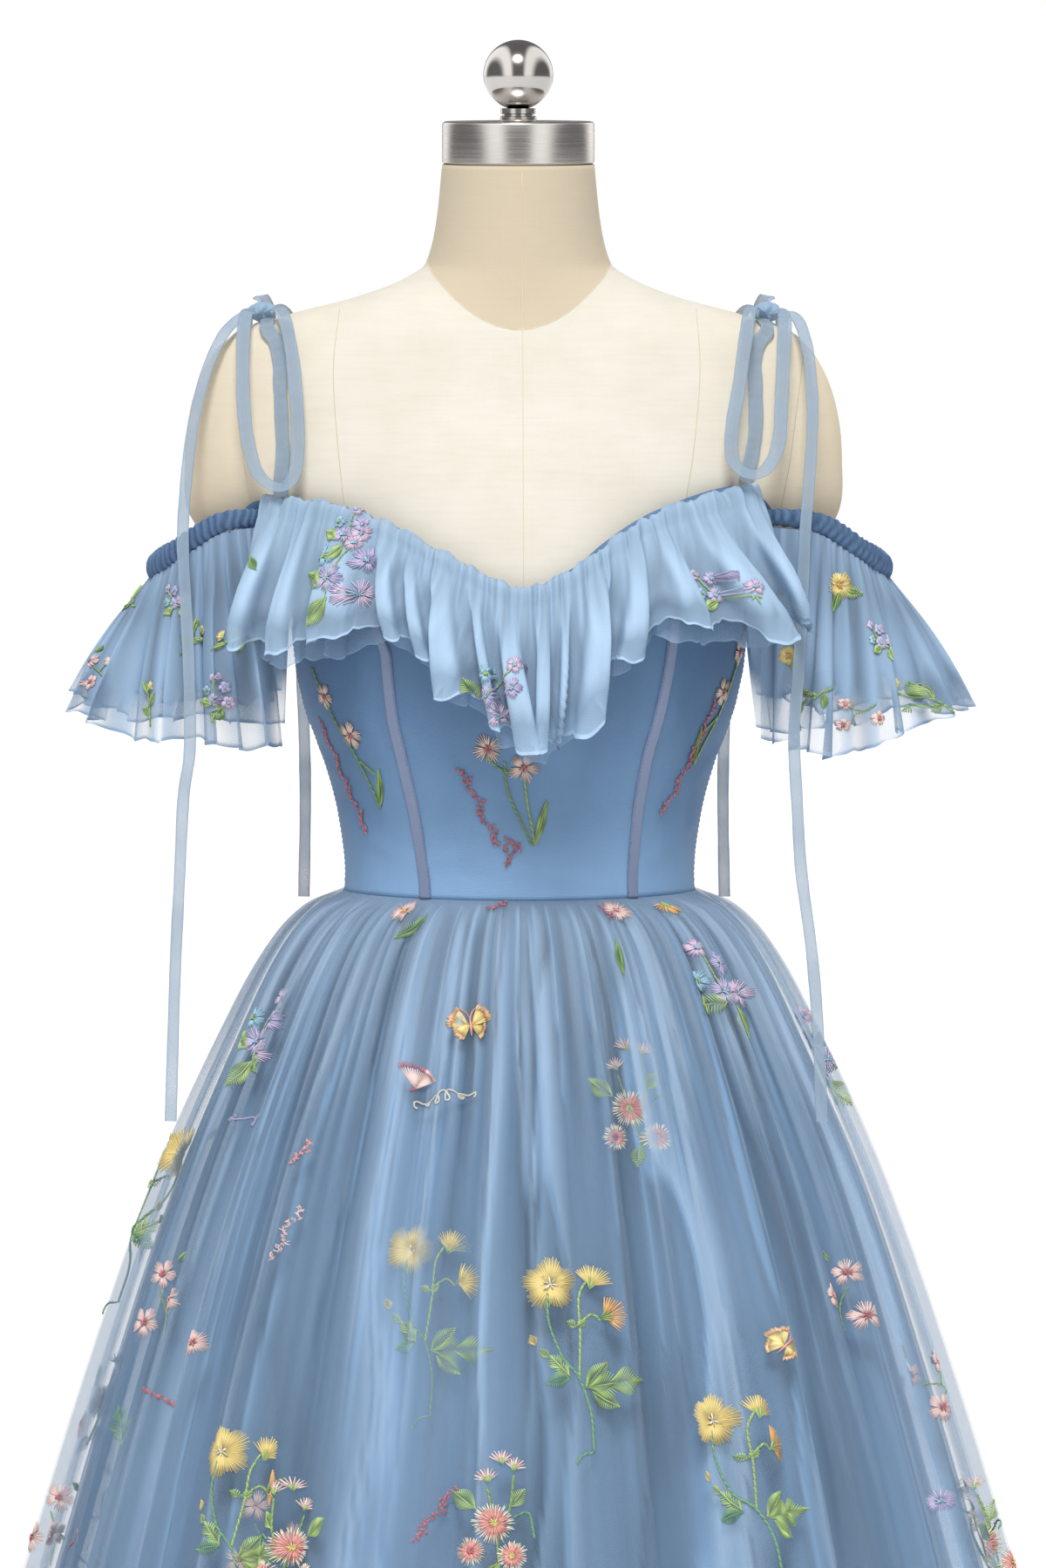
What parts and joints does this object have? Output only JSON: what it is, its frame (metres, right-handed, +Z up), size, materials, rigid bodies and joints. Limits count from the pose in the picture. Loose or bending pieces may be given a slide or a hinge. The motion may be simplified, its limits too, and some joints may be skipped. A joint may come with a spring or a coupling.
{
  "type": "homecoming dress on a limbless dress form",
  "caption": "Knee-length off-shoulder dress with boned bodice, neck ruffle, shoulder ties and full gathered tulle skirt, worn by a linen dress form on a round-based stand.",
  "frame": {"origin": "centre of the stand base's underside, on the floor", "axes": "+Z up along the pole, -Y the wearer's front, +X to the right as seen from the front"},
  "size_m": [0.7167, 0.6739, 1.5674],
  "materials": {
    "form_linen": "plain-weave natural linen stretched over a firm form",
    "form_steel": "brushed and polished steel",
    "bodice": "dusty blue tulle over satin",
    "satin": "lavender-blue satin strip",
    "tulle": "sheer blue tulle with sparse embroidery",
    "lining": "matt blue lining",
    "band": "dark blue gathered casing",
    "zip_metal": "blue enamelled zip metal"
  },
  "bodies": {
    "dress": {"form_torso": "form_linen", "form_neck_cap": "form_steel", "form_stem": "form_steel", "form_finial_ball": "form_steel", "stand_base": "form_steel", "stand_pole": "form_steel", "bodice_front": "bodice", "bodice_side_front_left": "bodice", "bodice_side_front_right": "bodice", "bodice_back_left": "bodice", "bodice_back_right": "bodice", "boning_channel_left": "satin", "boning_channel_right": "satin", "neck_ruffle": "tulle", "neck_ruffle_under": "tulle", "sleeve_band_left": "band", "sleeve_band_right": "band", "sleeve_flounce_left": "tulle", "sleeve_flounce_right": "tulle", "sleeve_flounce_under_left": "tulle", "sleeve_flounce_under_right": "tulle", "tie_knot_left": "tulle", "tie_knot_right": "tulle", "tie_strap_front_left": "tulle", "tie_strap_front_right": "tulle", "tie_strap_back_left": "tulle", "tie_strap_back_right": "tulle", "tie_loop_front_left": "tulle", "tie_loop_front_right": "tulle", "tie_loop_back_left": "tulle", "tie_loop_back_right": "tulle", "tie_tail_front_left": "tulle", "tie_tail_front_right": "tulle", "tie_tail_back_left": "tulle", "tie_tail_back_right": "tulle", "skirt_tulle_front": "tulle", "skirt_tulle_back": "tulle", "skirt_tulle_under_front": "tulle", "skirt_tulle_under_back": "tulle", "skirt_lining_front": "lining", "skirt_lining_back": "lining", "back_zip": "lining", "zip_slider": "zip_metal"},
    "zip_pull": {"zip_pull": "zip_metal"}
  },
  "joints": [
    {"name": "zip_pull_hinge", "type": "hinge", "parent": "dress", "child": "zip_pull", "pos_m": [0, 0.10654, 1.19352], "axis": [1, 0, 0], "range_deg": [0, 150]}
  ]
}
